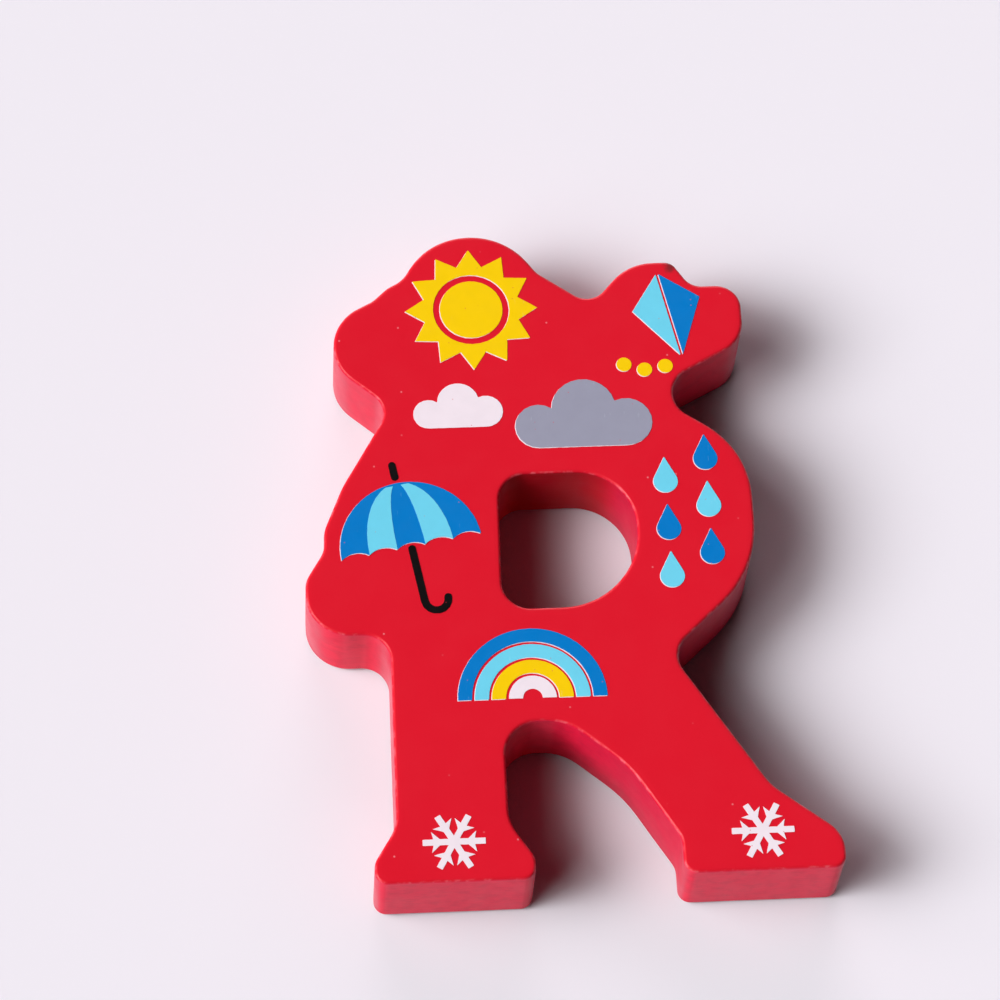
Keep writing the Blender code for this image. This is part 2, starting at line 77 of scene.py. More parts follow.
# Partly wear and partly painted highlight: the rims are paler in patches, where paint is rubbed
# and where light glints.
LACQUER_WEAR_AND_HIGHLIGHT = (246, 130, 142)
LACQUER_SPECK = (250, 170, 178)
LACQUER_SMUDGE = (96, 44, 46)
LACQUER_SHINE = 0.34
THROWN_LOSS = 0.45
BLACK = (0, 0, 0)
# A tilt band is read on one part of the surface normal, from 0 to 1.
WALL_TILT = (0.25, 0.8)
ENDWISE_WALL_TILT = (0.6, 0.95)
SOLE_TILT = (0.97, 0.998)
EDGE_TILT_FROM = (0.1, 0.5)
EDGE_TILT_TO = (0.75, 0.98)
FACE_TILT = (0.97, 0.995)
ARCH_MIDDLE = (0.5 * MM, -40 * MM, 7 * MM)
SAWN_AND_SHADE_REACH = (15 * MM, 17 * MM)
SAWN_DULLNESS = 0.24
WALL_DULLNESS = 0.02
# Noise and cells are counted to the metre, as one number or as one for each axis.
COAT_CLOUDS = 60
COAT_GRAIN = 2600
COAT_CLOUD_SHARE = 0.6
SANDING_LINES = (160, 160, 4200)
SANDING_PORES = (900, 900, 2600)
LINE_BAND = (0.15, 0.42)
LINE_SHARE = 0.14
WALL_CLOUDS = 480
WALL_CLOUD_BAND = (0.4, 0.7)
WALL_CLOUD_SHARE = 0.2
WEAR_AND_HIGHLIGHT_PATCHES = 900
WEAR_AND_HIGHLIGHT_BAND = (0.45, 0.7)
WEAR_AND_HIGHLIGHT_SHARE = 0.4
SPECK_CELLS = 230
SPECK_SIZE = (0.015, 0.045)
SPECK_CHANCE = (0.82, 1.0)
SPECK_SHARE = 0.5
SMUDGE_PLACE = (18.4 * MM, 44.0 * MM, 13.8 * MM)
SMUDGE_SIZE = (1.1 * MM, 2.3 * MM)
SMUDGE_RAGGED = 1.6 * MM
SMUDGE_GRAIN = 900
SMUDGE_SHARE = 0.75
GLOSS_CLOUDS = 260
GLOSS_BAND = (0.3, 0.7)
FACE_ROUGHNESS = (0.29, 0.37)
PEEL_SCALE = 1100
PEEL_STRENGTH = 0.1
PEEL_HEIGHT = 0.05 * MM
RIDGE_STRENGTH = 0.25
RIDGE_HEIGHT = 0.08 * MM


def linear(colour):
    """A colour of 0 to 255 a channel as the shader's linear values, by the sRGB curve."""
    shares = [channel / 255 for channel in colour]
    return (*[c / 12.92 if c <= 0.04045 else ((c + 0.055) / 1.055) ** 2.4 for c in shares], 1)


def add(tree, kind, inputs=None, **settings):
    """A new node in the tree, with its settings made and its inputs filled or linked."""
    made = tree.nodes.new(kind)
    for name, value in settings.items():
        setattr(made, name, value)
    for name, value in (inputs or {}).items():
        sources = value if isinstance(value, list) else [value]
        for source in sources:
            if isinstance(source, bpy.types.NodeSocket):
                tree.links.new(source, made.inputs[name])
            else:
                made.inputs[name].default_value = source
    return made


def result(tree, kind, inputs=None, **settings):
    """The first output of a new node."""
    return add(tree, kind, inputs, **settings).outputs[0]


def math_of(tree, operation, *values):
    """The result of one sum on numbers or sockets."""
    return result(tree, "ShaderNodeMath", dict(enumerate(values)), operation=operation)


def times(tree, first, second):
    """The product of two numbers or sockets."""
    return math_of(tree, "MULTIPLY", first, second)


def vector_of(tree, operation, *values):
    """The result of one sum on vectors or sockets."""
    return result(tree, "ShaderNodeVectorMath", dict(enumerate(values)), operation=operation)


def length_of(tree, operation, *values):
    """The length of a vector, or the distance between two."""
    measure = add(tree, "ShaderNodeVectorMath", dict(enumerate(values)), operation=operation)
    return measure.outputs["Value"]


def scaled(tree, vector, factor):
    """A vector socket times a number or number socket."""
    inputs = {0: vector, "Scale": factor}
    return result(tree, "ShaderNodeVectorMath", inputs, operation="SCALE")


def spread(tree, value, band, start=0.0, end=1.0):
    """What goes smoothly from a start to an end while a value crosses a band."""
    low, high = band
    ends = {"Value": value, "From Min": low, "From Max": high, "To Min": start, "To Max": end}
    return result(tree, "ShaderNodeMapRange", ends, interpolation_type="SMOOTHSTEP")


def noise(tree, vector, scale):
    """Soft noise over a place, at one scale or at one for each axis."""
    if isinstance(scale, tuple):
        vector = result(tree, "ShaderNodeMapping", {"Vector": vector, "Scale": scale})
        scale = 1.0
    inputs = {"Vector": vector, "Scale": scale, "Detail": NOISE_DETAIL}
    return add(tree, "ShaderNodeTexNoise", inputs).outputs["Fac"]


def flecks(tree, vector, cells, size, chance, share):
    """Round flecks seen from the front, in the cells whose own draw passes the chance."""
    inputs = {"Vector": vector, "Scale": cells}
    dots = add(tree, "ShaderNodeTexVoronoi", inputs, voronoi_dimensions="2D").outputs
    draw = result(tree, "ShaderNodeSeparateColor", {0: dots["Color"]})
    near = spread(tree, dots["Distance"], size, 1.0, 0.0)
    return times(tree, near, spread(tree, draw, chance, 0.0, share))


def blend(tree, share, first, second):
    """One colour passing into another by a share."""
    node = add(tree, "ShaderNodeMix", data_type="RGBA")
    for name, value in (("Factor_Float", share), ("A_Color", first), ("B_Color", second)):
        socket = next(s for s in node.inputs if s.identifier == name)
        if isinstance(value, bpy.types.NodeSocket):
            tree.links.new(value, socket)
        else:
            socket.default_value = value
    return next(s for s in node.outputs if s.identifier == "Result_Color")


def relief(tree, height, strength, depth, **more):
    """A surface normal that follows a height."""
    inputs = {"Height": height, "Strength": strength, "Distance": depth, **more}
    return result(tree, "ShaderNodeBump", inputs)


def finish_called(name):
    """A new material, its tree, its shader and its object coordinates."""
    made = bpy.data.materials.new(name)
    made.use_nodes = True
    tree = made.node_tree
    return made, tree, tree.nodes["Principled BSDF"], add(tree, "ShaderNodeTexCoord").outputs


def red_lacquer(counter_middle):
    """Satin lacquer: specks on the faces, sanding on the walls, rims rubbed pale with a painted
    highlight, duller sawn cuts, painted light and shade on the walls.
    """
    made, tree, shader, place = finish_called("red_lacquer")
    where = place["Object"]
    facing = add(tree, "ShaderNodeSeparateXYZ", {0: place["Normal"]}).outputs
    flat = math_of(tree, "ABSOLUTE", facing["Z"])
    wall = spread(tree, flat, WALL_TILT, 1.0, 0.0)
    off_wall = spread(tree, flat, EDGE_TILT_FROM)
    off_face = spread(tree, flat, EDGE_TILT_TO, 1.0, 0.0)
    edge = times(tree, off_wall, off_face)
    endwise = math_of(tree, "ABSOLUTE", facing["Y"])
    endwise_wall = spread(tree, endwise, ENDWISE_WALL_TILT)
    counter, arch = [spread(tree, length_of(tree, "DISTANCE", where, middle), SAWN_AND_SHADE_REACH, 1.0, 0.0)
                     for middle in (counter_middle, ARCH_MIDDLE)]
    sawn = math_of(tree, "MAXIMUM", counter, arch)

    coat = math_of(tree, "ADD", times(tree, noise(tree, where, COAT_CLOUDS), COAT_CLOUD_SHARE),
                   times(tree, noise(tree, where, COAT_GRAIN), 1 - COAT_CLOUD_SHARE))
    colour = blend(tree, coat, linear(LACQUER_DEEP), linear(LACQUER_RED))
    # Painted shade and sheen on the walls, and painted light on those facing along the letter's
    # height.
    side = blend(tree, endwise_wall, linear(LACQUER_WALL_SHADE_AND_SHEEN), linear(LACQUER_ENDWISE_LIT))
    # Painted light, lighter still, on the walls facing straight along the height, such as the
    # soles.
    side = blend(tree, spread(tree, endwise, SOLE_TILT), side, linear(LACQUER_SOLE_LIT))
    # Painted shade on those walls inside the counter.
    side = blend(tree, times(tree, counter, endwise_wall), side, linear(LACQUER_COUNTER_SHADE))
    colour = blend(tree, wall, colour, side)
    lines = times(tree, noise(tree, where, SANDING_LINES), noise(tree, where, SANDING_PORES))
    clouds = spread(tree, noise(tree, where, WALL_CLOUDS), WALL_CLOUD_BAND, 0.0, WALL_CLOUD_SHARE)
    sanded = math_of(tree, "ADD", clouds, spread(tree, lines, LINE_BAND, 0.0, LINE_SHARE))
    colour = blend(tree, times(tree, wall, sanded), colour, linear(LACQUER_SANDED))
    # Pale patches on the rims: rubbed paint, and partly a painted highlight.
    wear_and_highlight = spread(tree, noise(tree, where, WEAR_AND_HIGHLIGHT_PATCHES), WEAR_AND_HIGHLIGHT_BAND, 0.0, WEAR_AND_HIGHLIGHT_SHARE)
    colour = blend(tree, times(tree, edge, wear_and_highlight), colour, linear(LACQUER_WEAR_AND_HIGHLIGHT))
    dust = flecks(tree, where, SPECK_CELLS, SPECK_SIZE, SPECK_CHANCE, SPECK_SHARE)
    dust = times(tree, dust, spread(tree, flat, FACE_TILT))
    colour = blend(tree, dust, colour, linear(LACQUER_SPECK))
    ragged = times(tree, noise(tree, where, SMUDGE_GRAIN), SMUDGE_RAGGED)
    away = math_of(tree, "ADD", length_of(tree, "DISTANCE", where, SMUDGE_PLACE), ragged)
    smudge = spread(tree, away, SMUDGE_SIZE, SMUDGE_SHARE, 0.0)
    colour = blend(tree, smudge, colour, linear(LACQUER_SMUDGE))

    # Less red is thrown on what stands near than the lacquer shows, so the floor stays pale.
    thrown = add(tree, "ShaderNodeLightPath").outputs["Is Diffuse Ray"]
    colour = blend(tree, times(tree, thrown, THROWN_LOSS), colour, linear(BLACK))
    tree.links.new(colour, shader.inputs["Base Color"])

    dull = times(tree, math_of(tree, "MAXIMUM", endwise_wall, sawn), SAWN_DULLNESS)
    dull = times(tree, wall, math_of(tree, "ADD", dull, WALL_DULLNESS))
    gloss = spread(tree, noise(tree, where, GLOSS_CLOUDS), GLOSS_BAND, *FACE_ROUGHNESS)
    tree.links.new(math_of(tree, "ADD", gloss, dull), shader.inputs["Roughness"])
    peel = relief(tree, noise(tree, where, PEEL_SCALE), PEEL_STRENGTH, PEEL_HEIGHT)
    grain = relief(tree, times(tree, lines, wall), RIDGE_STRENGTH, RIDGE_HEIGHT, Normal=peel)
    tree.links.new(grain, shader.inputs["Normal"])
    shader.inputs["Specular IOR Level"].default_value = LACQUER_SHINE
    return made


def rims(node, level):
    """A solid's outlines at one level, counted down from its top, with the solid on their left."""
    shape = bmesh.new()
    shape.from_mesh(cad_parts[node].data)
    bmesh.ops.remove_doubles(shape, verts=shape.verts, dist=WELD)
    shape.normal_update()
    heights = sorted({round(v.co.z / WELD) for v in shape.verts}, reverse=True)
    after = {}
    for edge in shape.edges:
        if any(round(v.co.z / WELD) != heights[level] for v in edge.verts):
            continue
        walls = [face for face in edge.link_faces if abs(face.normal.z) < LEVEL_FROM]
        if not walls:
            continue
        first, second = edge.verts
        outward = (second.co - first.co).cross(Vector(UPWARD))
        if outward.dot(walls[0].normal) < 0:
            first, second = second, first
        after[first] = second
    loops = []
    while after:
        here = next(iter(after))
        loop = []
        while here in after:
            loop.append(Vector((here.co.x, here.co.y, 0)))
            here = after.pop(here)
        loops.append(loop)
    shape.free()
    return loops


def drawn(name, loops):
    """A mesh of closed lines through the loops' points."""
    points, edges = [], []
    for loop in loops:
        start = len(points)
        points += loop
        edges += [(start + i, start + (i + 1) % len(loop)) for i in range(len(loop))]
    mesh = bpy.data.meshes.new(name)
    mesh.from_pydata(points, edges, [])
    return mesh


def evenly(loop, step):
    """The loop with more points on its long straights."""
    points = []
    for i, here in enumerate(loop):
        following = loop[(i + 1) % len(loop)]
        cuts = max(1, round((following - here).length / step))
        points += [here.lerp(following, k / cuts) for k in range(cuts)]
    return points


def empty_tree(name, sockets):
    """A geometry tree with named inputs and one geometry output."""
    tree = bpy.data.node_groups.new(name, "GeometryNodeTree")
    for label, kind in sockets.items():
        tree.interface.new_socket(label, in_out="INPUT", socket_type="NodeSocket" + kind)
    tree.interface.new_socket("Geometry", in_out="OUTPUT", socket_type="NodeSocketGeometry")
    return tree, tree.nodes.new("NodeGroupInput").outputs


def sway(tree, scale, **seed):
    """A sideways swing that changes from place to place, half a unit each way at most."""
    inputs = {"Vector": result(tree, "GeometryNodeInputPosition"), "Scale": scale, **seed}
    ripple = add(tree, "ShaderNodeTexNoise", inputs, noise_dimensions="4D" if seed else "3D")
    middled = vector_of(tree, "SUBTRACT", ripple.outputs["Color"], NOISE_MIDDLE)
    return vector_of(tree, "MULTIPLY", middled, LEVEL_ONLY)


def finished(tree, geometry, finish):
    """The end of a geometry tree: real geometry with its material on it."""
    real = result(tree, "GeometryNodeRealizeInstances", {"Geometry": geometry})
    done = result(tree, "GeometryNodeSetMaterial", {"Geometry": real, "Material": finish})
    add(tree, "NodeGroupOutput", {0: done})
    return tree


def grown(name, tree, mesh, values):
    """What a geometry tree makes of a mesh, as an object with a plain mesh of its own."""
    made = bpy.data.objects.new(name, mesh)
    bpy.context.scene.collection.objects.link(made)
    modifier = made.modifiers.new(tree.name, "NODES")
    modifier.node_group = tree
    for item in tree.interface.items_tree:
        if item.in_out == "INPUT" and item.name in values:
            modifier[item.identifier] = values[item.name]
    evaluated = made.evaluated_get(bpy.context.evaluated_depsgraph_get())
    plain = bpy.data.meshes.new_from_object(evaluated)
    made.modifiers.remove(modifier)
    made.data = plain
    plain.name = name
    return made


def rounded_board():
    """A board with the outline's shape: a rounded edge run round it, and a flat front and back."""
    tree, size = empty_tree("rounded_board", {
        "Outline": "Geometry", "Front": "Float", "Back": "Float", "Rounding": "Float",
        "Steps": "Int", "Land": "Float", "Spacing": "Float", "Wobble": "Float",
        "Finish": "Material"})
    line = result(tree, "GeometryNodeMeshToCurve", {"Mesh": size["Outline"]})
    smooth = result(tree, "GeometryNodeCurveSplineType", {"Curve": line},
                    spline_type="CATMULL_ROM")
    even = result(tree, "GeometryNodeResampleCurve",
                  {"Curve": smooth, "Length": size["Spacing"]}, mode="LENGTH")
    path = result(tree, "GeometryNodeSetCurveNormal", {"Curve": even}, mode="Z_UP")

    inward = times(tree, math_of(tree, "ADD", size["Rounding"], size["Land"]), -1.0)
    profile_corners = ((inward, "Front"), (0.0, "Front"), (0.0, "Back"), (inward, "Back"))
    points = {}
    for k, (across, level) in enumerate(profile_corners, start=1):
        turned = times(tree, size[level], -1.0)
        points[f"Point {k}"] = result(tree, "ShaderNodeCombineXYZ", {0: across, 1: turned})
    square = result(tree, "GeometryNodeCurvePrimitiveQuadrilateral", points, mode="POINTS")
    opened = result(tree, "GeometryNodeSetSplineCyclic", {"Geometry": square, "Cyclic": False})
    profile = result(tree, "GeometryNodeFilletCurve",
                     {"Curve": opened, "Count": size["Steps"], "Radius": size["Rounding"]},
                     mode="POLY")
    sides = result(tree, "GeometryNodeCurveToMesh", {"Curve": path, "Profile Curve": profile})

    normal = add(tree, "GeometryNodeInputNormal").outputs["Normal"]
    inner = result(tree, "GeometryNodeSetPosition",
                   {"Geometry": path, "Offset": scaled(tree, normal, inward)})
    face = result(tree, "GeometryNodeFillCurve", {"Curve": inner}, mode="NGONS")
    shells = [sides]
    for level, turned in (("Front", False), ("Back", True)):
        lift = result(tree, "ShaderNodeCombineXYZ", {2: size[level]})
        flat = result(tree, "GeometryNodeTransform", {"Geometry": face, "Translation": lift})
        if turned:
            flat = result(tree, "GeometryNodeFlipFaces", {"Mesh": flat})
        shells.append(flat)
    joined = result(tree, "GeometryNodeJoinGeometry", {"Geometry": shells})
    whole = result(tree, "GeometryNodeMergeByDistance",
                   {"Geometry": joined, "Distance": JOIN_WITHIN})
    swing = scaled(tree, sway(tree, WOBBLE_SCALE), size["Wobble"])
    uneven = result(tree, "GeometryNodeSetPosition", {"Geometry": whole, "Offset": swing})
    return finished(tree, uneven, size["Finish"])


def fitted(piece, slot, *nodes):
    """Puts a piece on the letter: it moves with it and stands for its CAD nodes; the slot is not
    used.
    """
    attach(piece, "root")
    if nodes:
        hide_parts(*nodes)


board_low, board_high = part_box("letter_body")
board_levels = {round(v.co.z / WELD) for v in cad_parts["letter_body"].data.vertices}
# Half of the levels belong to each rounded rim, and the front rim's last one has the full outline.
full_level = len(board_levels) // 2 - 1
board_outline = [evenly(loop, OUTLINE_STEP) for loop in rims("letter_body", full_level)]
counter_outline = min(board_outline, key=len)
counter_middle = sum(counter_outline, Vector()) / len(counter_outline)
counter_middle.z = (board_low.z + board_high.z) / 2
board = grown("board", rounded_board(), drawn("board_outline", board_outline), {
    "Front": board_high.z, "Back": board_low.z, "Rounding": EDGE_ROUNDING,
    "Steps": ROUNDING_STEPS, "Land": RIM_LAND, "Spacing": OUTLINE_SPACING,
    "Wobble": HAND_WOBBLE, "Finish": red_lacquer(counter_middle)})
board.data.shade_smooth()
board.data.set_sharp_from_angle(angle=SHARP_FROM)
fitted(board, "red_paint", "letter_body")

# Foam pads
# Four round pads of white closed-cell foam, die-cut, with adhesive on both faces.
# They are pressed on behind the widest places of the letter and hold it to a door or a wall.
PAD_VERTICES = 120
PAD_SIDE_ROWS = 8
PAD_RINGS = 14
PAD_TUCK = 0.12 * MM
PAD_TUCK_POWER = 2.5
PAD_UNEVEN = 0.08 * MM
PAD_UNEVEN_SCALE = 320
FOAM_WHITE = (236, 233, 227)
FOAM_SHADE = (216, 211, 202)
FOAM_CELLS = 4200
FOAM_CELL_BAND = (0.02, 0.3)
FOAM_CELL_SHADE = (0.6, 1.0)
WHOLE_BAND = (0.0, 1.0)
FOAM_CLOUDS = 900
FOAM_FACE_TILT = (0.6, 0.95)
FOAM_ROUGHNESS = (0.85, 0.5)
FOAM_PORE_STRENGTH = 0.5
FOAM_PORE_DEPTH = -0.06 * MM


def foam():
    """White foam with fine open pores at its cut side and a smoother film on its faces."""
    made, tree, shader, place = finish_called("closed_cell_foam")
    where = place["Object"]
    facing = add(tree, "ShaderNodeSeparateXYZ", {0: place["Normal"]}).outputs
    flat = math_of(tree, "ABSOLUTE", facing["Z"])
    cells = add(tree, "ShaderNodeTexVoronoi", {"Vector": where, "Scale": FOAM_CELLS},
                feature="DISTANCE_TO_EDGE")
    hollow = spread(tree, cells.outputs["Distance"], FOAM_CELL_BAND)
    clouds = noise(tree, where, FOAM_CLOUDS)
    # Darker in soft clouds of random tone, and more so in the pores' hollows, which is painted
    # shade.
    shade = times(tree, clouds, spread(tree, hollow, WHOLE_BAND, *FOAM_CELL_SHADE))
    colour = blend(tree, shade, linear(FOAM_WHITE), linear(FOAM_SHADE))
    tree.links.new(colour, shader.inputs["Base Color"])
    dull = spread(tree, flat, FOAM_FACE_TILT, *FOAM_ROUGHNESS)
    tree.links.new(dull, shader.inputs["Roughness"])
    pores = relief(tree, hollow, FOAM_PORE_STRENGTH, FOAM_PORE_DEPTH)
    tree.links.new(pores, shader.inputs["Normal"])
    return made


def foam_pad():
    """A round pad whose side swells between its two flat faces."""
    tree, size = empty_tree("foam_pad", {
        "Geometry": "Geometry", "Middle": "Vector", "Radius": "Float", "Depth": "Float",
        "Tuck": "Float", "Unevenness": "Float", "Seed": "Float", "Foam": "Material"})
    disc = add(tree, "GeometryNodeMeshCylinder", {
        "Vertices": PAD_VERTICES, "Side Segments": PAD_SIDE_ROWS, "Fill Segments": PAD_RINGS,
        "Radius": size["Radius"], "Depth": size["Depth"]}, fill_type="TRIANGLE_FAN")
    where = result(tree, "GeometryNodeInputPosition")
    height = add(tree, "ShaderNodeSeparateXYZ", {0: where}).outputs["Z"]
    half_depth = times(tree, size["Depth"], 0.5)
    share = math_of(tree, "ABSOLUTE", math_of(tree, "DIVIDE", height, half_depth))
    tucked = times(tree, math_of(tree, "POWER", share, PAD_TUCK_POWER), size["Tuck"])
    level = vector_of(tree, "MULTIPLY", where, LEVEL_ONLY)
    reach = math_of(tree, "DIVIDE", length_of(tree, "LENGTH", level), size["Radius"])
    ripple = add(tree, "ShaderNodeTexNoise",
                 {"Vector": where, "W": size["Seed"], "Scale": PAD_UNEVEN_SCALE},
                 noise_dimensions="4D")
    uneven = times(tree, ripple.outputs["Fac"], size["Unevenness"])
    pull = times(tree, math_of(tree, "ADD", tucked, uneven), times(tree, reach, -1.0))
    inward = scaled(tree, vector_of(tree, "NORMALIZE", level), pull)
    shaped = result(tree, "GeometryNodeSetPosition",
                    {"Geometry": disc.outputs["Mesh"], "Offset": inward})
    placed = result(tree, "GeometryNodeTransform",
                    {"Geometry": shaped, "Translation": size["Middle"]})
    return finished(tree, placed, size["Foam"])


pad_tree = foam_pad()
pad_foam = foam()
for seed, node in enumerate(("pad_cap", "pad_bowl", "pad_stem", "pad_leg")):
    low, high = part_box(node)
    pad = grown(f"foam_{node}", pad_tree, bpy.data.meshes.new(node), {
        "Middle": (low + high) / 2, "Radius": (high.x - low.x) / 2, "Depth": high.z - low.z,
        "Tuck": PAD_TUCK, "Unevenness": PAD_UNEVEN, "Seed": float(seed), "Foam": pad_foam})
    pad.data.shade_smooth()
    pad.data.set_sharp_from_angle(angle=SHARP_FROM)
    fitted(pad, "foam", node)

# White underprint
# The first pass of the print: white ink under the coloured areas, to keep them bright on the red.
# The later passes lie a little up and to the right, so a thin white line shows on the other side.
FRONT = board_high.z
IN_PLACE = [(0, 0, 0)]
UNDERPRINT_DEPTH = 0.03 * MM
UNDERPRINT_SHIFT = (-0.10 * MM, -0.09 * MM, 0.0)
UNDERPRINT_SEED = 1.0
INK_DEPTH = 0.06 * MM
INK_SEED = 2.0
INK_SPACING = 0.14 * MM
INK_RAGGED = 0.09 * MM
INK_RAGGED_SCALE = 1500
INK_WHITE = (248, 237, 246)
INK_WHITE_SCUFF = (230, 216, 226)
INK_FLAW = (214, 60, 74)
INK_DEEPEST = 0.96
INK_CLOUDS = 420
SCUFF_LINES = (2200, 420, 300)
SCUFF_BAND = (0.66, 0.76)
SCUFF_SHARE = 0.35
SCUFF_PATCHES = 150
SCUFF_PATCH_BAND = (0.45, 0.65)
PINHOLE_CELLS = 420
PINHOLE_SIZE = (0.02, 0.05)
PINHOLE_CHANCE = (0.7, 0.95)
PINHOLE_SHARE = 0.6
INK_GLOSS_CLOUDS = 700
INK_ROUGHNESS = (0.4, 0.52)
INK_GRAIN = 3000
INK_GRAIN_STRENGTH = 0.15
INK_GRAIN_HEIGHT = 0.04 * MM
INK_SHINE = 0.2


def ink(name, colour, scuffed):
    """Screen-printed ink: a slightly uneven coat with pinholes, and scuffs where it was rubbed."""
    made, tree, shader, place = finish_called(name)
    where = place["Object"]
    deepest = [channel * INK_DEEPEST for channel in colour]
    coat = blend(tree, noise(tree, where, INK_CLOUDS), linear(deepest), linear(colour))
    lines = spread(tree, noise(tree, where, SCUFF_LINES), SCUFF_BAND, 0.0, SCUFF_SHARE)
    patches = spread(tree, noise(tree, where, SCUFF_PATCHES), SCUFF_PATCH_BAND)
    coat = blend(tree, times(tree, lines, patches), coat, linear(scuffed))
    pinholes = flecks(tree, where, PINHOLE_CELLS, PINHOLE_SIZE, PINHOLE_CHANCE, PINHOLE_SHARE)
    coat = blend(tree, pinholes, coat, linear(INK_FLAW))
    tree.links.new(coat, shader.inputs["Base Color"])
    gloss = spread(tree, noise(tree, where, INK_GLOSS_CLOUDS), GLOSS_BAND, *INK_ROUGHNESS)
    tree.links.new(gloss, shader.inputs["Roughness"])
    grain = relief(tree, noise(tree, where, INK_GRAIN), INK_GRAIN_STRENGTH, INK_GRAIN_HEIGHT)
    tree.links.new(grain, shader.inputs["Normal"])
    shader.inputs["Specular IOR Level"].default_value = INK_SHINE
    return made


def print_film():
    """A film of ink in the shape of an outline, laid down at each of the places."""
    tree, size = empty_tree("print_film", {
        "Places": "Geometry", "Outline": "Object", "Base": "Float", "Top": "Float",
        "Shift": "Vector", "Spacing": "Float", "Raggedness": "Float", "Seed": "Float",
        "Ink": "Material"})
    outline = add(tree, "GeometryNodeObjectInfo", {"Object": size["Outline"], "As Instance": True})
    copies = result(tree, "GeometryNodeInstanceOnPoints",
                    {"Points": size["Places"], "Instance": outline.outputs["Geometry"]})
    lines = result(tree, "GeometryNodeRealizeInstances", {"Geometry": copies})
    curve = result(tree, "GeometryNodeMeshToCurve", {"Mesh": lines})
    fine = result(tree, "GeometryNodeResampleCurve",
                  {"Curve": curve, "Length": size["Spacing"]}, mode="LENGTH")
    ragged = scaled(tree, sway(tree, INK_RAGGED_SCALE, W=size["Seed"]), size["Raggedness"])
    moved = vector_of(tree, "ADD", ragged, size["Shift"])
    laid = result(tree, "GeometryNodeSetPosition", {"Geometry": fine, "Offset": moved})
    filled = result(tree, "GeometryNodeFillCurve", {"Curve": laid}, mode="NGONS")
    lift = result(tree, "ShaderNodeCombineXYZ", {2: size["Base"]})
    sheet = result(tree, "GeometryNodeTransform", {"Geometry": filled, "Translation": lift})
    depth = math_of(tree, "SUBTRACT", size["Top"], size["Base"])
    raised = result(tree, "GeometryNodeExtrudeMesh", {
        "Mesh": sheet, "Offset": UPWARD, "Offset Scale": depth, "Individual": False}, mode="FACES")
    under = result(tree, "GeometryNodeFlipFaces", {"Mesh": sheet})
    joined = result(tree, "GeometryNodeJoinGeometry", {"Geometry": [raised, under]})
    whole = result(tree, "GeometryNodeMergeByDistance", {"Geometry": joined, "Distance": WELD})
    return finished(tree, whole, size["Ink"])


film_tree = print_film()


def printed(name, loops, places, coat, slot, nodes, **changes):
    """One pass of ink: the loops' shape laid on the front at each place."""
    stencil = bpy.data.objects.new("stencil", drawn("stencil", loops))
    bpy.context.scene.collection.objects.link(stencil)
    marks = bpy.data.meshes.new("marks")
    marks.from_pydata(places, [], [])
    film = grown(name, film_tree, marks, {
        "Outline": stencil, "Base": FRONT, "Top": FRONT + INK_DEPTH, "Spacing": INK_SPACING,
        "Raggedness": INK_RAGGED, "Seed": INK_SEED, "Ink": coat, **changes})
    bpy.data.objects.remove(stencil)
    film.data.shade_flat()
    fitted(film, slot, *nodes)


def single(name, coat, slot, *nodes, **changes):
    """One pass of ink over whole CAD films, each where it is."""
    loops = [loop for node in nodes for loop in rims(node, 0)]
    printed(name, loops, IN_PLACE, coat, slot, nodes, **changes)


def repeated(name, coat, slot, *nodes):
    """One shape of ink, taken from the first film, at the middle of each film."""
    middles = []
    for node in nodes:
        low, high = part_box(node)
        middles.append(Vector(((low.x + high.x) / 2, (low.y + high.y) / 2, 0)))
    loops = [[point - middles[0] for point in loop] for loop in rims(nodes[0], 0)]
    printed(name, loops, middles, coat, slot, nodes)


white_ink = ink("white_ink", INK_WHITE, INK_WHITE_SCUFF)
coloured = ["sun_disc", "sun_rays", "grey_cloud", "kite_left", "kite_right", "umbrella_canopy",
            "rainbow_blue", "rainbow_sky", "rainbow_yellow"]
coloured += [f"kite_tail_{k}" for k in (1, 2, 3)]
coloured += [f"rain_drop_{k}" for k in (1, 2, 3, 4, 5, 6)]
under_loops = [loop for node in coloured for loop in rims(node, 0)]
printed("white_underprint", under_loops, IN_PLACE, white_ink, "white_ink", (),
        Top=FRONT + UNDERPRINT_DEPTH, Shift=UNDERPRINT_SHIFT, Seed=UNDERPRINT_SEED)

# Sun
# A yellow disc inside a ring of pointed rays, printed on the letter's top.
# Both are one pass of yellow ink.
INK_YELLOW = (255, 213, 4)
INK_YELLOW_SCUFF = (252, 232, 150)
yellow_ink = ink("yellow_ink", INK_YELLOW, INK_YELLOW_SCUFF)
single("sun_disc_ink", yellow_ink, "yellow_ink", "sun_disc")
single("sun_rays_ink", yellow_ink, "yellow_ink", "sun_rays")

# Clouds
# A small white cloud and a larger grey one, each a flat base with three round humps.
# The white one belongs to the white pass, the grey one has its own ink.
INK_GREY = (157, 159, 179)
INK_GREY_SCUFF = (205, 206, 220)
grey_ink = ink("grey_ink", INK_GREY, INK_GREY_SCUFF)
single("white_cloud_ink", white_ink, "white_ink", "white_cloud")
single("grey_cloud_ink", grey_ink, "grey_ink", "grey_cloud")

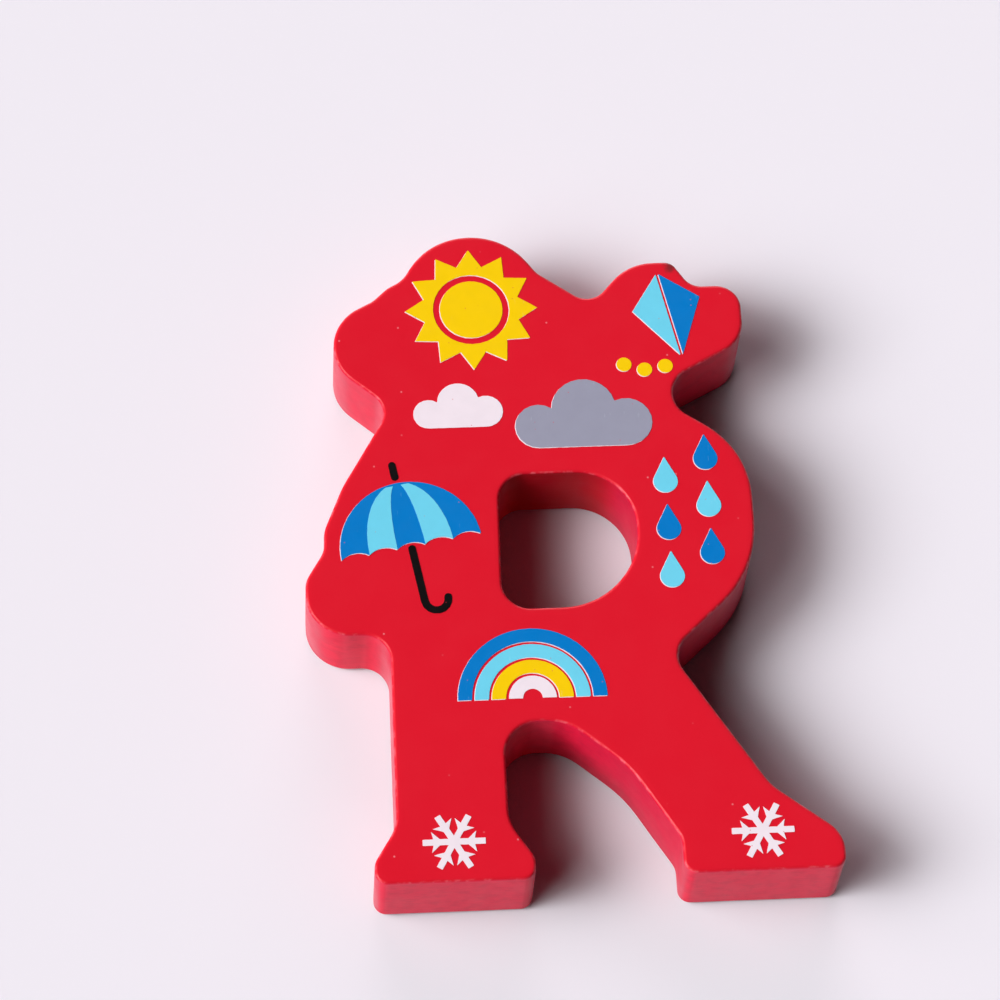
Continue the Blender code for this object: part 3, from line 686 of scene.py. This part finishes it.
# Kite
# Two halves in light and dark blue, with a tail of three yellow dots.
# Each half is a pass of its own ink, and the dots are one shape printed three times.
INK_SKY = (114, 219, 247)
INK_SKY_SCUFF = (214, 240, 250)
INK_BLUE = (0, 126, 207)
INK_BLUE_SCUFF = (120, 180, 226)
sky_ink = ink("sky_ink", INK_SKY, INK_SKY_SCUFF)
blue_ink = ink("blue_ink", INK_BLUE, INK_BLUE_SCUFF)
single("kite_left_ink", sky_ink, "sky_ink", "kite_left")
single("kite_right_ink", blue_ink, "blue_ink", "kite_right")
repeated("kite_tail_ink", yellow_ink, "yellow_ink", "kite_tail_1", "kite_tail_2", "kite_tail_3")

# Rain
# Six drops in staggered pairs down the bowl, three in each blue.
# One drop shape is printed at each place.
repeated("rain_sky_ink", sky_ink, "sky_ink", "rain_drop_1", "rain_drop_4", "rain_drop_5")
repeated("rain_blue_ink", blue_ink, "blue_ink", "rain_drop_2", "rain_drop_3", "rain_drop_6")

# Umbrella
# A blue canopy with two light panels printed over it, and a black shaft with a crook and a tip.
# The panels lie on the canopy's ink, and the black goes straight on the red.
INK_BLACK = (14, 12, 13)
INK_BLACK_SCUFF = (64, 60, 62)
PANEL_DEPTH = 0.09 * MM
black_ink = ink("black_ink", INK_BLACK, INK_BLACK_SCUFF)
single("umbrella_canopy_ink", blue_ink, "blue_ink", "umbrella_canopy")
single("umbrella_panels_ink", sky_ink, "sky_ink", "umbrella_left_panel", "umbrella_right_panel",
       Base=FRONT + INK_DEPTH, Top=FRONT + PANEL_DEPTH)
single("umbrella_shaft_ink", black_ink, "black_ink", "umbrella_shaft")
single("umbrella_tip_ink", black_ink, "black_ink", "umbrella_tip")

# Rainbow
# Four half rings, one in the other, over the arch between the legs.
# Each ring is a pass of its own ink, with a hair of red left between them.
single("rainbow_blue_ink", blue_ink, "blue_ink", "rainbow_blue")
single("rainbow_sky_ink", sky_ink, "sky_ink", "rainbow_sky")
single("rainbow_yellow_ink", yellow_ink, "yellow_ink", "rainbow_yellow")
single("rainbow_white_ink", white_ink, "white_ink", "rainbow_white")

# Snow
# A white snowflake on each foot, six arms with a pair of twigs on each.
# One flake shape is printed twice in the white pass.
repeated("snow_ink", white_ink, "white_ink", "snowflake_left", "snowflake_right")

# Floor, light and camera
# A plain pale floor, four wide soft lights on the left, and a low, warmer one behind the top.
# Only the middle one on the left and the low one show in the gloss, so the front keeps its red.
# The camera looks down on the front from over the feet, as the photograph does.
FLOOR_COLOUR = (240, 238, 246)
FLOOR_ROUGHNESS = 0.8
FLOOR_SHINE = 0.1
FLOOR_HALF = 3.0
WHITE_LIGHT = (1.0, 1.0, 1.0)
WARM_LIGHT = (1.0, 0.77, 0.8)
LAMPS = {
    "key_light_back": {"turn": -6, "rise": 38, "width": 42, "level": 0.97, "mirrored": False},
    "key_light_middle": {"turn": 9, "rise": 38, "width": 30, "level": 1.53},
    "key_light_front": {"turn": 24, "rise": 38, "width": 42, "level": 1.12, "mirrored": False},
    "key_light_high": {"turn": 9, "rise": 48, "width": 44, "level": 0.66, "mirrored": False},
    "fill_light": {"turn": -90, "rise": 18, "width": 40, "level": 1.3, "colour": WARM_LIGHT}}
ROUND_LEVEL = 0.018
ROUND_COLOUR = (1.0, 0.55, 0.6, 1.0)
CAMERA_PLACE = (-47.18 * MM, -260.49 * MM, 627.31 * MM)
CAMERA_TURN = (math.radians(23.7177), math.radians(-2.2525), math.radians(-3.0993))
CAMERA_LENS = 167.88
CAMERA_SENSOR = 36.0
CAMERA_NEAR = 0.01


def soft_light(name, turn, rise, width, level, colour=WHITE_LIGHT, mirrored=True):
    """A distant light, in degrees from the left towards the viewer and up from the floor."""
    lamp = bpy.data.objects.new(name, bpy.data.lights.new(name, "SUN"))
    lamp.data.energy = level
    lamp.data.color = colour
    lamp.data.angle = math.radians(width)
    lamp.visible_glossy = mirrored
    across = math.radians(turn)
    upward = math.radians(rise)
    towards = Vector((-math.cos(across), -math.sin(across), math.tan(upward)))
    lamp.rotation_euler = towards.to_track_quat("Z", "Y").to_euler()
    bpy.context.scene.collection.objects.link(lamp)


floor_finish, _, floor_shader, _ = finish_called("pale_floor")
floor_shader.inputs["Base Color"].default_value = linear(FLOOR_COLOUR)
floor_shader.inputs["Roughness"].default_value = FLOOR_ROUGHNESS
floor_shader.inputs["Specular IOR Level"].default_value = FLOOR_SHINE
floor_mesh = bpy.data.meshes.new("floor")
floor_signs = ((-1, -1), (1, -1), (1, 1), (-1, 1))
floor_corners = [(x * FLOOR_HALF, y * FLOOR_HALF, 0) for x, y in floor_signs]
floor_mesh.from_pydata(floor_corners, [], [range(len(floor_corners))])
floor_mesh.materials.append(floor_finish)
floor = bpy.data.objects.new("floor", floor_mesh)
bpy.context.scene.collection.objects.link(floor)

for name, lamp in LAMPS.items():
    soft_light(name, **lamp)

world = bpy.data.worlds.new("soft_round_light")
world.use_nodes = True
world.node_tree.nodes["Background"].inputs["Color"].default_value = ROUND_COLOUR
world.node_tree.nodes["Background"].inputs["Strength"].default_value = ROUND_LEVEL
bpy.context.scene.world = world

camera = bpy.data.objects.new("camera", bpy.data.cameras.new("camera"))
camera.data.lens = CAMERA_LENS
camera.data.sensor_width = CAMERA_SENSOR
camera.data.clip_start = CAMERA_NEAR
camera.location = CAMERA_PLACE
camera.rotation_euler = CAMERA_TURN
bpy.context.scene.collection.objects.link(camera)
bpy.context.scene.camera = camera
bpy.context.scene.view_settings.view_transform = "Standard"
